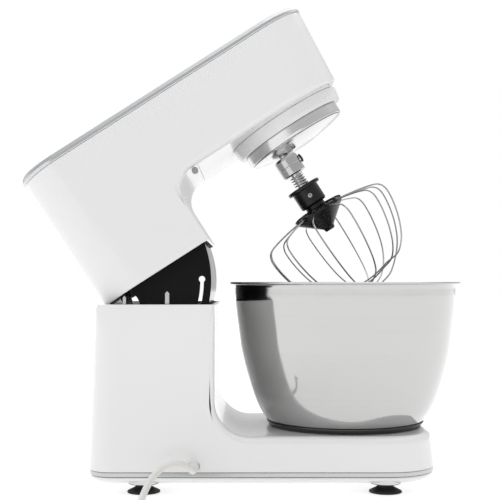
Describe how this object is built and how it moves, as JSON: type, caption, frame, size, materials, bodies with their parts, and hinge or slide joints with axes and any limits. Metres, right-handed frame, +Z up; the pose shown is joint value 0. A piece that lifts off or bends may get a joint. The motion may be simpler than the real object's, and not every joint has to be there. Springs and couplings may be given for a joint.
{
  "type": "stand mixer",
  "caption": "Tilt-head stand mixer with raised head, planetary drive, balloon whisk and steel bowl on a sucker-footed base, with a mains lead.",
  "frame": {"origin": "on the surface the feet stand on, below the middle of the mixer's box with the head raised, without the lead", "axes": "+X towards the front, where the bowl and the head's nose are; +Y towards the side with the speed knob; +Z up"},
  "size_m": [0.448, 0.3833, 0.4813],
  "materials": {
    "white_shell": "glossy white ABS",
    "silver_trim": "satin silver plated plastic",
    "black_gloss": "glossy black ABS",
    "inner_plastic": "moulded black nylon",
    "rubber": "black rubber",
    "steel": "bright steel",
    "bowl_steel": "polished stainless steel",
    "cast_alloy": "die cast, as moulded",
    "nylon": "natural nylon",
    "copper": "enamelled winding wire",
    "board_green": "coated circuit board",
    "cord_pvc": "pale grey PVC"
  },
  "bodies": {
    "base": {"base_housing": "white_shell", "base_trim_band": "silver_trim", "bottom_pan": "white_shell", "suction_foot_rear_left": "rubber", "suction_foot_rear_right": "rubber", "suction_foot_front_left": "rubber", "suction_foot_front_right": "rubber", "bowl_seat": "white_shell", "hinge_bracket": "steel", "guide_pin": "steel", "control_board": "board_green", "speed_switch": "inner_plastic", "cord_gland": "cord_pvc", "power_cord": "cord_pvc", "cord_coil": "cord_pvc", "cord_tail": "cord_pvc", "cord_plug": "cord_pvc"},
    "knob": {"speed_knob": "white_shell"},
    "lever": {"release_lever": "white_shell", "latch_hook": "steel"},
    "bowl": {"bowl_shell": "bowl_steel", "bowl_foot_ring": "bowl_steel"},
    "head": {"head_housing": "white_shell", "head_under_cover": "white_shell", "head_trim_band": "silver_trim", "head_top_cover": "white_shell", "tilt_shroud": "black_gloss", "head_chassis": "cast_alloy", "hinge_pin": "steel", "lift_spring": "steel", "gearbox_cover": "cast_alloy", "ring_gear": "nylon", "drive_skirt": "white_shell", "splash_ring": "silver_trim", "motor_stator": "steel", "drive_belt": "rubber"},
    "rotor": {"motor_shaft": "steel", "motor_armature": "copper", "cooling_fan": "inner_plastic", "motor_pulley": "inner_plastic"},
    "carrier": {"main_shaft": "steel", "main_pulley": "inner_plastic", "planet_carrier": "cast_alloy", "carrier_cone": "silver_trim"},
    "tool": {"planet_gear": "nylon", "tool_shaft": "steel", "spindle_pin": "steel", "tool_collar": "silver_trim", "collar_latch": "steel", "tool_spring": "steel"},
    "whisk": {"whisk_hub": "black_gloss", "whisk_cone": "black_gloss", "whisk_wire_1": "steel", "whisk_wire_2": "steel", "whisk_wire_3": "steel", "whisk_wire_4": "steel", "whisk_wire_5": "steel", "whisk_wire_6": "steel"}
  },
  "joints": [
    {"name": "head_tilt", "type": "hinge", "parent": "base", "child": "head", "pos_m": [-0.1404, 0, 0.205], "axis": [0, -1, 0], "range_deg": [-32.7, 0]},
    {"name": "carrier_spin", "type": "hinge", "parent": "head", "child": "carrier", "pos_m": [0.04467, 0, 0.36541], "axis": [-0.5402, 0, 0.8415], "continuous": true},
    {"name": "motor_spin", "type": "hinge", "parent": "head", "child": "rotor", "pos_m": [-0.11858, 0, 0.2606], "axis": [-0.5402, 0, 0.8415], "continuous": true},
    {"name": "tool_spin", "type": "hinge", "parent": "carrier", "child": "tool", "pos_m": [0.027, 0, 0.35406], "axis": [-0.5402, 0, 0.8415], "continuous": true},
    {"name": "whisk_pull", "type": "slide", "parent": "tool", "child": "whisk", "axis": [0.5402, 0, -0.8415], "range_m": [0, 0.018]},
    {"name": "bowl_twist", "type": "hinge", "parent": "base", "child": "bowl", "pos_m": [0.102, 0, 0.05], "axis": [0, 0, 1], "range_deg": [0, 32]},
    {"name": "knob_turn", "type": "hinge", "parent": "base", "child": "knob", "pos_m": [-0.092, 0.1, 0.104], "axis": [0, 1, 0], "range_deg": [-35, 240]},
    {"name": "lever_press", "type": "hinge", "parent": "base", "child": "lever", "pos_m": [-0.052, 0.09, 0.128], "axis": [0, 1, 0], "range_deg": [0, 24], "stiffness_Nm_per_rad": 0.12}
  ],
  "couplings": [
    {"joint": "motor_spin", "follows": "carrier_spin", "ratio": 3.75},
    {"joint": "tool_spin", "follows": "carrier_spin", "ratio": -3}
  ]
}
